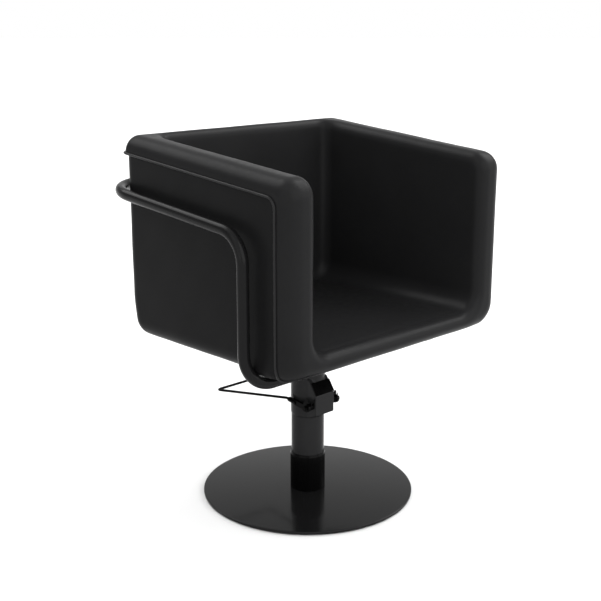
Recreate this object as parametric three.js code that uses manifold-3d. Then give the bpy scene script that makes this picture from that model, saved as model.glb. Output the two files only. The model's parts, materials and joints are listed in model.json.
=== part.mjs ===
// Salon styling chair: a boxy upholstered tub seat with a bent tube rail around it, carried by a
// foot-pumped hydraulic column on a round floor disc. Millimetres, +Z up, the sitter faces -Y.
// The origin is the centre of the floor disc's underside, on the column's axis.
import * as THREE from "three";
import { mergeVertices } from "three/addons/utils/BufferGeometryUtils.js";
import Module from "manifold-3d";

const wasm = await Module();
wasm.setup();

// ---- Driving dimensions -------------------------------------------------------------------
const GAP = 0.3; // clearance between pieces that touch

// Floor disc and column
const DISC_RADIUS = 250;
const DISC_TOP = 9;
const PAD_THICK = 2;
const LOWER_SLEEVE_RADIUS = 41.5;
const LOWER_SLEEVE_TOP = 100;
const SLEEVE_TAPER = 6; // height of the cone that leads from one column diameter to the next
const COLUMN_RADIUS = 38.9;
const SLEEVE_WALL = 1.9;
const HEAD_RADIUS = 40.2;
const HEAD_BOTTOM = 195.3;
const HEAD_TOP = 300;

// Hydraulic pump
const FLANGE_RADIUS = 38.5;
const FLANGE_THICK = 8;
const FLANGE_BOLT_RING = 31;
const CYLINDER_RADIUS = 24;
const CYLINDER_BORE = 17;
const CYLINDER_FLOOR = 26;
const RAM_RADIUS = 14;
const BUSH_RADIUS = 18;

// Foot pedal
const PIN = { y: -45, z: 229.5, radius: 5, half: 57 };
const YOKE = { near: 44.5, far: 50.5, eye: 10, halfHeight: 6, length: 59, socket: 12, rise: 7 };
const ROD_RADIUS = 3.2;
const PEDAL_CORNER = { x: 82, y: 238, z: 210.5 };
const CAM = { reach: 13, nose: 4, hub: 6.6, half: 6 };
const PLUNGER = { radius: 4, length: 20, clearance: 0.4 };
const SPRING = { near: 32.2, far: 42.8, radius: 7.4, wire: 1.1, turns: 3, leg: 20 };

// Tub seat
const HALF_WIDTH = 335;
const FRONT = -291;
const BACK = 236;
const BOTTOM = 407;
const TOP = 835.5; // height of the arm tops above the column's axis
const TOP_SLOPE = 0.0923; // the arm tops rise towards the back
const ARM_THICK = 78;
const BACK_THICK = 36;
const SEAT_TOP = 450;
const BOARD_THICK = 15;
const COVER_THICK = 2.4; // the dust cover under the seat board
const BOARD_RISE = 12; // the upright boards stop short of the tub's rounded underside
const ARM_BOARD = { near: 289, far: 305, inset: 40, drop: 45 };
const BACK_BOARD = { front: 22, back: 12, side: 8, drop: 25 };
const SEAM_INSET = 38; // from the tub's edge to the welt around each outer panel
const PANEL_RECESS = 3;
const PANEL_PROUD = 1.5; // a panel's face lies this far inside the tub's outermost face
const PANEL_RISE = 62; // from the tub's underside to the panels' lower edges

// Tube rail
const TUBE_RADIUS = 12.5;
const TUBE_WALL = 2;
const RAIL_X = 358;
const RAIL_FRONT = -184;
const RAIL_BACK = 279;
const RAIL_HEIGHT = 714.5; // beside the column's axis
const RAIL_SLOPE = 0.098;
const RAIL_LOW = 384;
const RAIL_JOINT = 560;
const BEND = { lower: 76, upper: 64, rear: 97 };

const STEEL = { color: 0x111112, roughness: 0.42, metalness: 0.6 };
const DARK_STEEL = { color: 0x08080a, roughness: 0.3, metalness: 0.7 };
const BRIGHT_STEEL = { color: 0xa8abb0, roughness: 0.25, metalness: 1 };
const BRONZE = { color: 0x8a6a35, roughness: 0.4, metalness: 1 };
const RUBBER = { color: 0x0c0c0c, roughness: 0.85, metalness: 0 };
const LEATHER = { color: 0x0d0d0e, roughness: 0.55, metalness: 0 };
const PLYWOOD = { color: 0xb58b5a, roughness: 0.7, metalness: 0 };

const chair = new THREE.Group();

// ---- Helpers ------------------------------------------------------------------------------
function add(name, geometry, finish) {
  const mesh = new THREE.Mesh(geometry, new THREE.MeshStandardMaterial(finish));
  mesh.name = name;
  chair.add(mesh);
  return mesh;
}

function toSolid(geometry) {
  const bare = new THREE.BufferGeometry();
  bare.setAttribute("position", geometry.getAttribute("position").clone());
  if (geometry.index) bare.setIndex(geometry.index.clone());
  const merged = mergeVertices(bare, 1e-4);
  return new wasm.Manifold(
    new wasm.Mesh({
      numProp: 3,
      vertProperties: new Float32Array(merged.getAttribute("position").array),
      triVerts: new Uint32Array(merged.index.array),
    }),
  );
}

function toGeometry(solid) {
  const mesh = solid.getMesh();
  const geometry = new THREE.BufferGeometry();
  geometry.setAttribute("position", new THREE.BufferAttribute(mesh.vertProperties, 3));
  geometry.setIndex(new THREE.BufferAttribute(mesh.triVerts, 1));
  geometry.computeVertexNormals();
  return geometry;
}

function cut(geometry, ...tools) {
  return toGeometry(tools.reduce((left, tool) => left.subtract(toSolid(tool)), toSolid(geometry)));
}

function join(geometry, ...others) {
  return toGeometry(others.reduce((sum, other) => sum.add(toSolid(other)), toSolid(geometry)));
}

function box(low, high) {
  const size = high.map((value, i) => value - low[i]);
  const middle = high.map((value, i) => (value + low[i]) / 2);
  return new THREE.BoxGeometry(...size).translate(...middle);
}

// A solid cylinder along "x", "y" or "z" between two coordinates of that axis.
function rod(axis, radius, from, to, centre, sides = 16) {
  const geometry = new THREE.CylinderGeometry(radius, radius, to - from, sides);
  const along = { x: (from + to) / 2, y: (from + to) / 2, z: (from + to) / 2 };
  if (axis === "x") geometry.rotateZ(Math.PI / 2);
  if (axis === "z") geometry.rotateX(Math.PI / 2);
  const place = { ...centre, [axis]: along[axis] };
  return geometry.translate(place.x, place.y, place.z);
}

// A solid of revolution about Z from [radius, height] points, going up the outside.
function turned(points, sides = 24) {
  const profile = points.map(([radius, height]) => new THREE.Vector2(radius, height));
  return new THREE.LatheGeometry(profile, sides).rotateX(Math.PI / 2);
}

// A tube about Z with a small chamfer on its outer edges.
function ring(inner, outer, low, high, chamfer, sides = 24) {
  return turned(
    [
      [inner, low],
      [outer - chamfer, low],
      [outer, low + chamfer],
      [outer, high - chamfer],
      [outer - chamfer, high],
      [inner, high],
      [inner, low],
    ],
    sides,
  );
}

// An outline with one rounding radius per corner: [x, y, radius]. It runs anticlockwise.
function roundedShape(corners, steps = 5) {
  const shape = new THREE.Shape();
  const count = corners.length;
  corners.forEach(([x, y, radius], i) => {
    const before = corners[(i + count - 1) % count];
    const after = corners[(i + 1) % count];
    const corner = new THREE.Vector2(x, y);
    const toBefore = new THREE.Vector2(before[0] - x, before[1] - y).normalize();
    const toAfter = new THREE.Vector2(after[0] - x, after[1] - y).normalize();
    const half = Math.acos(THREE.MathUtils.clamp(toBefore.dot(toAfter), -1, 1)) / 2;
    const back = radius / Math.tan(half);
    const start = corner.clone().addScaledVector(toBefore, back);
    const end = corner.clone().addScaledVector(toAfter, back);
    if (i === 0) shape.moveTo(start.x, start.y);
    else shape.lineTo(start.x, start.y);
    if (radius === 0) return;
    const centre = corner
      .clone()
      .addScaledVector(toBefore.clone().add(toAfter).normalize(), radius / Math.sin(half));
    const first = start.clone().sub(centre).angle();
    let sweep = end.clone().sub(centre).angle() - first;
    if (sweep > Math.PI) sweep -= 2 * Math.PI;
    if (sweep < -Math.PI) sweep += 2 * Math.PI;
    for (let k = 1; k <= steps; k += 1) {
      const angle = first + (sweep * k) / steps;
      shape.lineTo(centre.x + radius * Math.cos(angle), centre.y + radius * Math.sin(angle));
    }
  });
  return shape;
}

// Extrudes an (x, z) outline along Y between two depths.
function alongY(shape, front, back) {
  const geometry = new THREE.ExtrudeGeometry(shape, { depth: back - front, bevelEnabled: false });
  return geometry.rotateX(Math.PI / 2).translate(0, back, 0);
}

// Extrudes a (y, z) outline along X between two places.
function alongX(shape, low, high) {
  const geometry = new THREE.ExtrudeGeometry(shape, { depth: high - low, bevelEnabled: false });
  return geometry.rotateX(Math.PI / 2).rotateZ(Math.PI / 2).translate(low, 0, 0);
}

// Tilts everything above a height so that it rises towards the back.
function slopeAbove(geometry, height, slope = TOP_SLOPE) {
  const place = geometry.getAttribute("position");
  for (let i = 0; i < place.count; i += 1) {
    if (place.getZ(i) > height) place.setZ(i, place.getZ(i) + slope * place.getY(i));
  }
  return geometry;
}

// A path of straight runs joined by arcs. Its stations sit only at the ends of each arc and
// along it, so an extrusion spends no steps on the straight runs.
class BentPath extends THREE.Curve {
  constructor(points, radii, arcSteps = 7) {
    super();
    this.stations = [];
    points.forEach((point, i) => {
      if (i === 0 || i === points.length - 1) {
        const along = i === 0 ? points[1].clone().sub(point) : point.clone().sub(points[i - 1]);
        this.stations.push({ point, tangent: along.normalize() });
        return;
      }
      const into = point.clone().sub(points[i - 1]).normalize();
      const out = points[i + 1].clone().sub(point).normalize();
      const turn = into.angleTo(out);
      const radius = radii[i - 1];
      const back = radius * Math.tan(turn / 2);
      const normal = out.clone().sub(into.clone().multiplyScalar(out.dot(into))).normalize();
      const start = point.clone().addScaledVector(into, -back);
      for (let k = 0; k <= arcSteps; k += 1) {
        const angle = (turn * k) / arcSteps;
        this.stations.push({
          point: start
            .clone()
            .addScaledVector(into, radius * Math.sin(angle))
            .addScaledVector(normal, radius * (1 - Math.cos(angle))),
          tangent: into
            .clone()
            .multiplyScalar(Math.cos(angle))
            .addScaledVector(normal, Math.sin(angle)),
        });
      }
    });
  }

  station(u) {
    return this.stations[Math.round(u * (this.stations.length - 1))];
  }

  getPointAt(u, target = new THREE.Vector3()) {
    return target.copy(this.station(u).point);
  }

  getTangentAt(u, target = new THREE.Vector3()) {
    return target.copy(this.station(u).tangent);
  }
}

function disc2d(radius, sides) {
  return Array.from({ length: sides }, (_, k) => {
    const angle = (2 * Math.PI * k) / sides;
    return new THREE.Vector2(radius * Math.cos(angle), radius * Math.sin(angle));
  });
}

// A round bar or, with a wall thickness, a hollow tube along a bent path.
function bent(path, radius, wall = 0, sides = 12) {
  const section = new THREE.Shape(disc2d(radius, sides));
  if (wall > 0) section.holes.push(new THREE.Path(disc2d(radius - wall, sides)));
  return new THREE.ExtrudeGeometry(section, {
    steps: path.stations.length - 1,
    extrudePath: path,
  });
}

const vec = (x, y, z) => new THREE.Vector3(x, y, z);
const SIDES = [
  { name: "left", sign: -1 },
  { name: "right", sign: 1 },
];

// ---- Floor disc ---------------------------------------------------------------------------
const boltRing = [45, 135, 225, 315].map((degrees) => {
  const angle = THREE.MathUtils.degToRad(degrees);
  return { x: FLANGE_BOLT_RING * Math.cos(angle), y: FLANGE_BOLT_RING * Math.sin(angle), z: 0 };
});

function floorDisc() {
  const bolt = { radius: 3, hole: 3.4, head: 5, headHeight: 6 };
  const discLow = PAD_THICK + GAP;
  const flangeLow = DISC_TOP + GAP;
  const flangeTop = flangeLow + FLANGE_THICK;
  const rim = 1.2;
  const webUnderBolt = 1.5;
  const holes = boltRing.map((at) => {
    return rod("z", bolt.hole, discLow + webUnderBolt, HEAD_BOTTOM, at, 10);
  });
  const padRadius = DISC_RADIUS - 4;
  const pad = turned(
    [
      [0, 0],
      [padRadius, 0],
      [padRadius, PAD_THICK],
      [0, PAD_THICK],
    ],
    48,
  );
  add("floor_pad", pad, RUBBER);
  const disc = turned(
    [
      [0, discLow],
      [DISC_RADIUS - rim, discLow],
      [DISC_RADIUS, discLow + rim],
      [DISC_RADIUS, DISC_TOP - rim],
      [DISC_RADIUS - rim, DISC_TOP],
      [0, DISC_TOP],
    ],
    64,
  );
  add("floor_disc", cut(disc, ...holes), STEEL);
  const cylinder = turned([
    [0, flangeLow],
    [FLANGE_RADIUS, flangeLow],
    [FLANGE_RADIUS, flangeTop],
    [CYLINDER_RADIUS, flangeTop],
    [CYLINDER_RADIUS, HEAD_BOTTOM - GAP],
    [CYLINDER_BORE, HEAD_BOTTOM - GAP],
    [CYLINDER_BORE, CYLINDER_FLOOR],
    [0, CYLINDER_FLOOR],
  ]);
  const flangeHoles = boltRing.map((at) => {
    return rod("z", bolt.hole, flangeLow - 1, flangeTop + 1, at, 10);
  });
  add("pump_cylinder", cut(cylinder, ...flangeHoles), DARK_STEEL);
  boltRing.forEach((at, i) => {
    const screw = turned(
      [
        [0, discLow + 2],
        [bolt.radius, discLow + 2],
        [bolt.radius, flangeTop + GAP],
        [bolt.head, flangeTop + GAP],
        [bolt.head, flangeTop + GAP + bolt.headHeight],
        [0, flangeTop + GAP + bolt.headHeight],
      ],
      10,
    );
    add(`flange_bolt_${i + 1}`, screw, DARK_STEEL).position.set(at.x, at.y, 0);
  });
  const lowerBore = COLUMN_RADIUS + GAP;
  const lower = turned([
    [lowerBore, DISC_TOP + GAP],
    [LOWER_SLEEVE_RADIUS, DISC_TOP + GAP],
    [LOWER_SLEEVE_RADIUS, LOWER_SLEEVE_TOP - SLEEVE_TAPER],
    [lowerBore + 0.4, LOWER_SLEEVE_TOP],
    [lowerBore, LOWER_SLEEVE_TOP],
    [lowerBore, DISC_TOP + GAP],
  ]);
  add("lower_sleeve", lower, DARK_STEEL);
  const upper = ring(
    COLUMN_RADIUS - SLEEVE_WALL,
    COLUMN_RADIUS,
    flangeTop + GAP,
    HEAD_BOTTOM - GAP,
    0.5,
  );
  add("column_sleeve", upper, STEEL);
}

// ---- Pump head with its front block -------------------------------------------------------
const BLOCK = { half: 30, front: -57, low: 206, high: 255, slopeBack: -39, slopeTop: 282 };
const POCKET = { half: 9, front: -52, back: -24, floor: PIN.z - 13 };
const PLUNGER_Y = PIN.y + CAM.reach;
const PLUNGER_BORE = 18;

function pumpHead() {
  const bolt = { x: 14, y: -26, radius: 4, height: 7, shank: 2.4 };
  const body = turned([
    [0, HEAD_BOTTOM],
    [COLUMN_RADIUS + 0.2, HEAD_BOTTOM],
    [HEAD_RADIUS, HEAD_BOTTOM + SLEEVE_TAPER],
    [HEAD_RADIUS, HEAD_TOP - 3],
    [HEAD_RADIUS - 3, HEAD_TOP],
    [0, HEAD_TOP],
  ]);
  const block = new THREE.Shape([
    new THREE.Vector2(0, BLOCK.low - 8),
    new THREE.Vector2(-36, BLOCK.low - 8),
    new THREE.Vector2(BLOCK.front, BLOCK.low),
    new THREE.Vector2(BLOCK.front, BLOCK.high),
    new THREE.Vector2(BLOCK.slopeBack, BLOCK.slopeTop),
    new THREE.Vector2(-30, BLOCK.slopeTop + 8),
    new THREE.Vector2(0, BLOCK.slopeTop + 8),
  ]);
  const centre = { x: 0, y: 0, z: 0 };
  const pin = { x: 0, y: PIN.y, z: PIN.z };
  const plunger = { x: 0, y: PLUNGER_Y, z: 0 };
  const pocketTop = BLOCK.slopeTop + 20;
  const boreRadius = PLUNGER.radius + PLUNGER.clearance;
  const tools = [
    rod("z", BUSH_RADIUS + GAP, HEAD_BOTTOM - 5, HEAD_TOP + 5, centre, 24),
    rod("x", PIN.radius + 0.4, -PIN.half, PIN.half, pin, 16),
    rod("z", boreRadius, POCKET.floor - PLUNGER_BORE, POCKET.floor + 5, plunger, 12),
    box([-POCKET.half, POCKET.front, POCKET.floor], [POCKET.half, POCKET.back, pocketTop]),
  ];
  for (const { sign } of SIDES) {
    const place = { x: sign * bolt.x, y: bolt.y, z: 0 };
    tools.push(rod("z", bolt.shank + 0.4, HEAD_TOP - 18, HEAD_TOP + 5, place, 10));
  }
  add("pump_head", cut(join(body, alongX(block, -BLOCK.half, BLOCK.half)), ...tools), STEEL);
  for (const { name, sign } of SIDES) {
    const screw = turned(
      [
        [0, HEAD_TOP - 16],
        [bolt.shank, HEAD_TOP - 16],
        [bolt.shank, HEAD_TOP + GAP],
        [bolt.radius, HEAD_TOP + GAP],
        [bolt.radius, HEAD_TOP + bolt.height],
        [0, HEAD_TOP + bolt.height],
      ],
      10,
    );
    add(`head_bolt_${name}`, screw, DARK_STEEL).position.set(sign * bolt.x, bolt.y, 0);
  }
  valveCover();
  const bore = RAM_RADIUS + 0.4;
  add("guide_bush", ring(bore, BUSH_RADIUS - 0.1, HEAD_BOTTOM + GAP, HEAD_TOP, 0.4), BRONZE);
  add("dust_wiper", ring(bore, 22, HEAD_TOP + GAP, HEAD_TOP + 5, 1), RUBBER);
}

// A flat plate on the block's sloping face, closing the pocket over the cam.
function valveCover() {
  const run = BLOCK.slopeBack - BLOCK.front;
  const rise = BLOCK.slopeTop - BLOCK.high;
  const length = Math.hypot(run, rise);
  const thick = 2.5;
  const lift = GAP + thick / 2;
  const plate = new THREE.BoxGeometry(2 * BLOCK.half - 1, length - 1, thick);
  const cover = add("valve_cover", plate, DARK_STEEL);
  cover.rotation.x = Math.atan2(rise, run);
  cover.position.set(
    0,
    (BLOCK.front + BLOCK.slopeBack) / 2 - (lift * rise) / length,
    (BLOCK.high + BLOCK.slopeTop) / 2 + (lift * run) / length,
  );
}

// ---- Ram ----------------------------------------------------------------------------------
const COLLAR = { low: 312, high: 320, radius: 24 };
const WASHER_TOP = COLLAR.high + GAP + 3;
const SPIGOT_TOP = 392;

function ram() {
  const foot = CYLINDER_FLOOR + 2;
  const pistonTop = foot + 20;
  const shape = turned([
    [0, pistonTop + GAP],
    [RAM_RADIUS, pistonTop + GAP],
    [RAM_RADIUS, COLLAR.low],
    [COLLAR.radius, COLLAR.low],
    [COLLAR.radius, COLLAR.high],
    [RAM_RADIUS, COLLAR.high],
    [RAM_RADIUS, SPIGOT_TOP - 2],
    [RAM_RADIUS - 2, SPIGOT_TOP],
    [0, SPIGOT_TOP],
  ]);
  add("ram_rod", shape, BRIGHT_STEEL);
  const piston = turned([
    [0, foot],
    [CYLINDER_BORE - 1.4, foot],
    [CYLINDER_BORE - 0.4, foot + 1],
    [CYLINDER_BORE - 0.4, pistonTop],
    [0, pistonTop],
  ]);
  add("ram_piston", piston, BRONZE);
  const washer = ring(RAM_RADIUS + 0.4, COLLAR.radius, COLLAR.high + GAP, WASHER_TOP, 0.3);
  add("thrust_washer", washer, BRONZE);
}

// ---- Swivel hub and mounting plate --------------------------------------------------------
const PLATE = { half: 110, thick: 5, corner: 15, bolt: 85, hole: 4.4 };
const PLATE_LOW = BOTTOM - GAP - PLATE.thick;
const plateBolts = [
  { x: PLATE.bolt, y: PLATE.bolt, z: 0 },
  { x: -PLATE.bolt, y: PLATE.bolt, z: 0 },
  { x: -PLATE.bolt, y: -PLATE.bolt, z: 0 },
  { x: PLATE.bolt, y: -PLATE.bolt, z: 0 },
];

function boltHoles(places, radius) {
  return places.map((at) => rod("z", radius, PLATE_LOW - 20, BOTTOM + BOARD_THICK, at, 10));
}

function swivelMount() {
  const hub = { low: WASHER_TOP + GAP, high: PLATE_LOW - GAP, radius: 30, flange: 52 };
  const bore = RAM_RADIUS + 0.4;
  const flangeLow = hub.high - 6;
  const shell = turned([
    [bore, hub.low],
    [hub.radius - 1, hub.low],
    [hub.radius, hub.low + 1],
    [hub.radius, flangeLow],
    [hub.flange, flangeLow],
    [hub.flange, hub.high],
    [bore, hub.high],
    [bore, hub.low],
  ]);
  const gusset = new THREE.Shape([
    new THREE.Vector2(hub.radius - 3, hub.low + 30),
    new THREE.Vector2(hub.radius + 1, hub.low + 30),
    new THREE.Vector2(hub.flange - 3, hub.high - 3),
    new THREE.Vector2(hub.radius - 3, hub.high - 3),
  ]);
  const web = 5;
  const gussets = [45, 135, 225, 315].map((degrees) => {
    const plate = new THREE.ExtrudeGeometry(gusset, { depth: web, bevelEnabled: false });
    return plate
      .translate(0, 0, -web / 2)
      .rotateX(Math.PI / 2)
      .rotateZ(THREE.MathUtils.degToRad(degrees));
  });
  add("swivel_hub", join(shell, ...gussets), STEEL);
  const corners = [
    [-1, -1],
    [1, -1],
    [1, 1],
    [-1, 1],
  ];
  const outline = roundedShape(
    corners.map(([x, y]) => [x * PLATE.half, y * PLATE.half, PLATE.corner]),
    3,
  );
  const plate = new THREE.ExtrudeGeometry(outline, { depth: PLATE.thick, bevelEnabled: false });
  plate.translate(0, 0, PLATE_LOW);
  add("mounting_plate", cut(plate, ...boltHoles(plateBolts, PLATE.hole)), STEEL);
  const head = { radius: 7.5, height: 5.5 };
  const centre = { x: 0, y: 0, z: 0 };
  plateBolts.forEach((at, i) => {
    const hexagon = new THREE.CylinderGeometry(head.radius, head.radius, head.height, 6)
      .rotateX(Math.PI / 2)
      .translate(0, 0, PLATE_LOW - GAP - head.height / 2);
    const shank = rod("z", PLATE.hole - 0.4, PLATE_LOW - 2, BOTTOM + BOARD_THICK - 3, centre, 10);
    add(`plate_bolt_${i + 1}`, join(hexagon, shank), DARK_STEEL).position.set(at.x, at.y, 0);
  });
}

// ---- Tub seat -----------------------------------------------------------------------------
const INNER = HALF_WIDTH - ARM_THICK;
const BACK_INNER = BACK - BACK_THICK;
const SEAT_LIP = 27; // depth of the upholstered lip in front of the seat board
const SADDLE = { x: 210, half: 12, reach: 30, screwY: 23, screwHole: 2.9, strap: 2.2 };
const saddleScrews = SIDES.flatMap(({ sign }) =>
  [-1, 1].map((side) => ({ x: sign * SADDLE.x, y: RAIL_FRONT + side * SADDLE.screwY, z: 0 })),
);

function tubFrame() {
  const coverTop = BOTTOM + COVER_THICK;
  const boardLow = coverTop + GAP;
  const edge = { front: FRONT + SEAT_LIP, back: BACK_INNER - GAP, half: INNER - GAP };
  const holes = () => [
    ...boltHoles(plateBolts, PLATE.hole),
    ...boltHoles(saddleScrews, SADDLE.screwHole),
  ];
  const sheet = (low, high) => {
    return box([-edge.half, edge.front, low], [edge.half, edge.back, high]);
  };
  add("bottom_cover", cut(sheet(BOTTOM, coverTop), ...holes()), RUBBER);
  add("seat_board", cut(sheet(boardLow, boardLow + BOARD_THICK), ...holes()), PLYWOOD);
  const boardFoot = BOTTOM + BOARD_RISE;
  for (const { name, sign } of SIDES) {
    const xs = [sign * ARM_BOARD.near, sign * ARM_BOARD.far].sort((a, b) => a - b);
    const upright = box(
      [xs[0], FRONT + ARM_BOARD.inset, boardFoot],
      [xs[1], BACK - ARM_BOARD.inset, TOP - ARM_BOARD.drop],
    );
    add(`arm_board_${name}`, slopeAbove(upright, SEAT_TOP), PLYWOOD);
  }
  const backBoard = box(
    [-edge.half + BACK_BOARD.side, BACK - BACK_BOARD.front, boardFoot],
    [edge.half - BACK_BOARD.side, BACK - BACK_BOARD.back, TOP - BACK_BOARD.drop],
  );
  add("back_board", backBoard, PLYWOOD);
}

const topAt = (y) => TOP + TOP_SLOPE * y;

// The padded arm on the -X side: its outlines from the front, from above and from the side meet.
function armBlock() {
  const margin = 10;
  const fromFront = roundedShape([
    [-HALF_WIDTH, BOTTOM, 45],
    [-INNER, BOTTOM, 0],
    [-INNER, TOP, 26],
    [-HALF_WIDTH, TOP, SEAM_INSET],
  ]);
  const fromAbove = roundedShape(
    [
      [-HALF_WIDTH, FRONT, SEAM_INSET],
      [-INNER, FRONT, 25],
      [-INNER, BACK, 0],
      [-HALF_WIDTH, BACK, 29],
    ],
    4,
  );
  const fromSide = roundedShape(
    [
      [FRONT, BOTTOM, 28],
      [BACK, BOTTOM, 30],
      [BACK, topAt(BACK), 18],
      [FRONT, topAt(FRONT), SEAM_INSET],
    ],
    4,
  );
  const column = new THREE.ExtrudeGeometry(fromAbove, { depth: TOP, bevelEnabled: false });
  const wall = slopeAbove(alongY(fromFront, FRONT - margin, BACK + margin), SEAT_TOP);
  return toSolid(wall)
    .intersect(toSolid(column.translate(0, 0, BOTTOM - margin)))
    .intersect(toSolid(alongX(fromSide, -HALF_WIDTH - margin, -INNER + margin)));
}

// The covered panel let into the arm's outer face, from one depth below the face to another.
function armPanel(shrink, outer, inner) {
  const front = FRONT + SEAM_INSET + shrink;
  const back = BACK - 30 - shrink;
  const low = BOTTOM + PANEL_RISE + shrink;
  const drop = SEAM_INSET + shrink;
  const outline = roundedShape(
    [
      [front, low, 3],
      [back, low, 3],
      [back, topAt(back) - drop, 20],
      [front, topAt(front) - drop, 20],
    ],
    4,
  );
  return alongX(outline, -HALF_WIDTH + outer, -HALF_WIDTH + inner);
}

function armPad(name, sign) {
  const slot = slopeAbove(
    box(
      [-ARM_BOARD.far - GAP, FRONT + ARM_BOARD.inset - GAP, BOTTOM - 5],
      [-ARM_BOARD.near + GAP, BACK - ARM_BOARD.inset + GAP, TOP - ARM_BOARD.drop + GAP],
    ),
    SEAT_TOP,
  );
  let side = armPanel(GAP, PANEL_PROUD, PANEL_RECESS - GAP);
  let pad = cut(toGeometry(armBlock()), slot, armPanel(0, -5, PANEL_RECESS));
  if (sign > 0) {
    pad = mirrored(pad);
    side = mirrored(side);
  }
  add(`arm_pad_${name}`, pad, LEATHER);
  add(`side_panel_${name}`, side, LEATHER);
}

// The same piece on the other side of the chair.
function mirrored(geometry) {
  const copy = geometry.clone().scale(-1, 1, 1);
  const flat = copy.index ? copy : mergeVertices(copy);
  const index = flat.index.array;
  for (let i = 0; i < index.length; i += 3) {
    [index[i], index[i + 1]] = [index[i + 1], index[i]];
  }
  return flat;
}

function seatPad() {
  const boardTop = BOTTOM + COVER_THICK + GAP + BOARD_THICK;
  const lipBack = FRONT + SEAT_LIP - GAP;
  const outline = roundedShape([
    [FRONT, BOTTOM, 16],
    [lipBack, BOTTOM, 0],
    [lipBack, boardTop + GAP, 0],
    [BACK_INNER - GAP, boardTop + GAP, 0],
    [BACK_INNER - GAP, SEAT_TOP, 0],
    [FRONT, SEAT_TOP, 25],
  ]);
  add("seat_pad", alongX(outline, -INNER + GAP, INNER - GAP), LEATHER);
}

function backPad() {
  const backTop = topAt(BACK);
  const outline = roundedShape([
    [BACK_INNER, BOTTOM, 0],
    [BACK, BOTTOM, 30],
    [BACK, backTop, 16],
    [BACK_INNER, backTop, 16],
  ]);
  const slotHalf = INNER - BACK_BOARD.side;
  const slot = box(
    [-slotHalf, BACK - BACK_BOARD.front - GAP, BOTTOM - 5],
    [slotHalf, BACK - BACK_BOARD.back + GAP, TOP - BACK_BOARD.drop + GAP],
  );
  const panel = { half: INNER - 20, low: BOTTOM + PANEL_RISE, high: backTop - SEAM_INSET };
  const recess = box(
    [-panel.half, BACK - PANEL_RECESS, panel.low],
    [panel.half, BACK + 5, panel.high],
  );
  const pad = alongX(outline, -INNER + GAP, INNER - GAP);
  add("back_pad", cut(pad, slot, recess), LEATHER);
  const face = box(
    [-panel.half + GAP, BACK - PANEL_RECESS + GAP, panel.low + GAP],
    [panel.half - GAP, BACK - PANEL_PROUD, panel.high - GAP],
  );
  add("back_panel", face, LEATHER);
}

// ---- Tube rail ----------------------------------------------------------------------------
function tubeRail() {
  const railAt = (y) => RAIL_HEIGHT + RAIL_SLOPE * y;
  const plug = { radius: TUBE_RADIUS - TUBE_WALL - 0.7, half: 35 };
  const spacer = { x: 190, radius: 9 };
  const tubeFront = RAIL_BACK - TUBE_RADIUS;
  const hoop = new BentPath(
    [
      vec(-RAIL_X, RAIL_FRONT, RAIL_JOINT - GAP),
      vec(-RAIL_X, RAIL_FRONT, RAIL_LOW),
      vec(RAIL_X, RAIL_FRONT, RAIL_LOW),
      vec(RAIL_X, RAIL_FRONT, RAIL_JOINT - GAP),
    ],
    [BEND.lower, BEND.lower],
  );
  add("front_hoop", bent(hoop, TUBE_RADIUS, TUBE_WALL), STEEL);
  for (const { name, sign } of SIDES) {
    const side = new BentPath(
      [
        vec(sign * RAIL_X, RAIL_FRONT, RAIL_JOINT),
        vec(sign * RAIL_X, RAIL_FRONT, railAt(RAIL_FRONT)),
        vec(sign * RAIL_X, RAIL_BACK, railAt(RAIL_BACK)),
        vec((sign * GAP) / 2, RAIL_BACK, railAt(RAIL_BACK)),
      ],
      [BEND.upper, BEND.rear],
    );
    add(`side_rail_${name}`, bent(side, TUBE_RADIUS, TUBE_WALL), STEEL);
    const joint = { x: sign * RAIL_X, y: RAIL_FRONT, z: 0 };
    const sidePlug = rod("z", plug.radius, RAIL_JOINT - plug.half, RAIL_JOINT + plug.half, joint, 12);
    add(`rail_plug_${name}`, sidePlug, BRIGHT_STEEL);
    const at = { x: sign * spacer.x, y: 0, z: railAt(RAIL_BACK) };
    const post = rod("y", spacer.radius, BACK - PANEL_PROUD + GAP, tubeFront - GAP, at, 16);
    add(`rear_spacer_${name}`, post, STEEL);
  }
  const rear = { x: 0, y: RAIL_BACK, z: railAt(RAIL_BACK) };
  add("rail_plug_rear", rod("x", plug.radius, -plug.half, plug.half, rear, 12), BRIGHT_STEEL);
}

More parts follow.
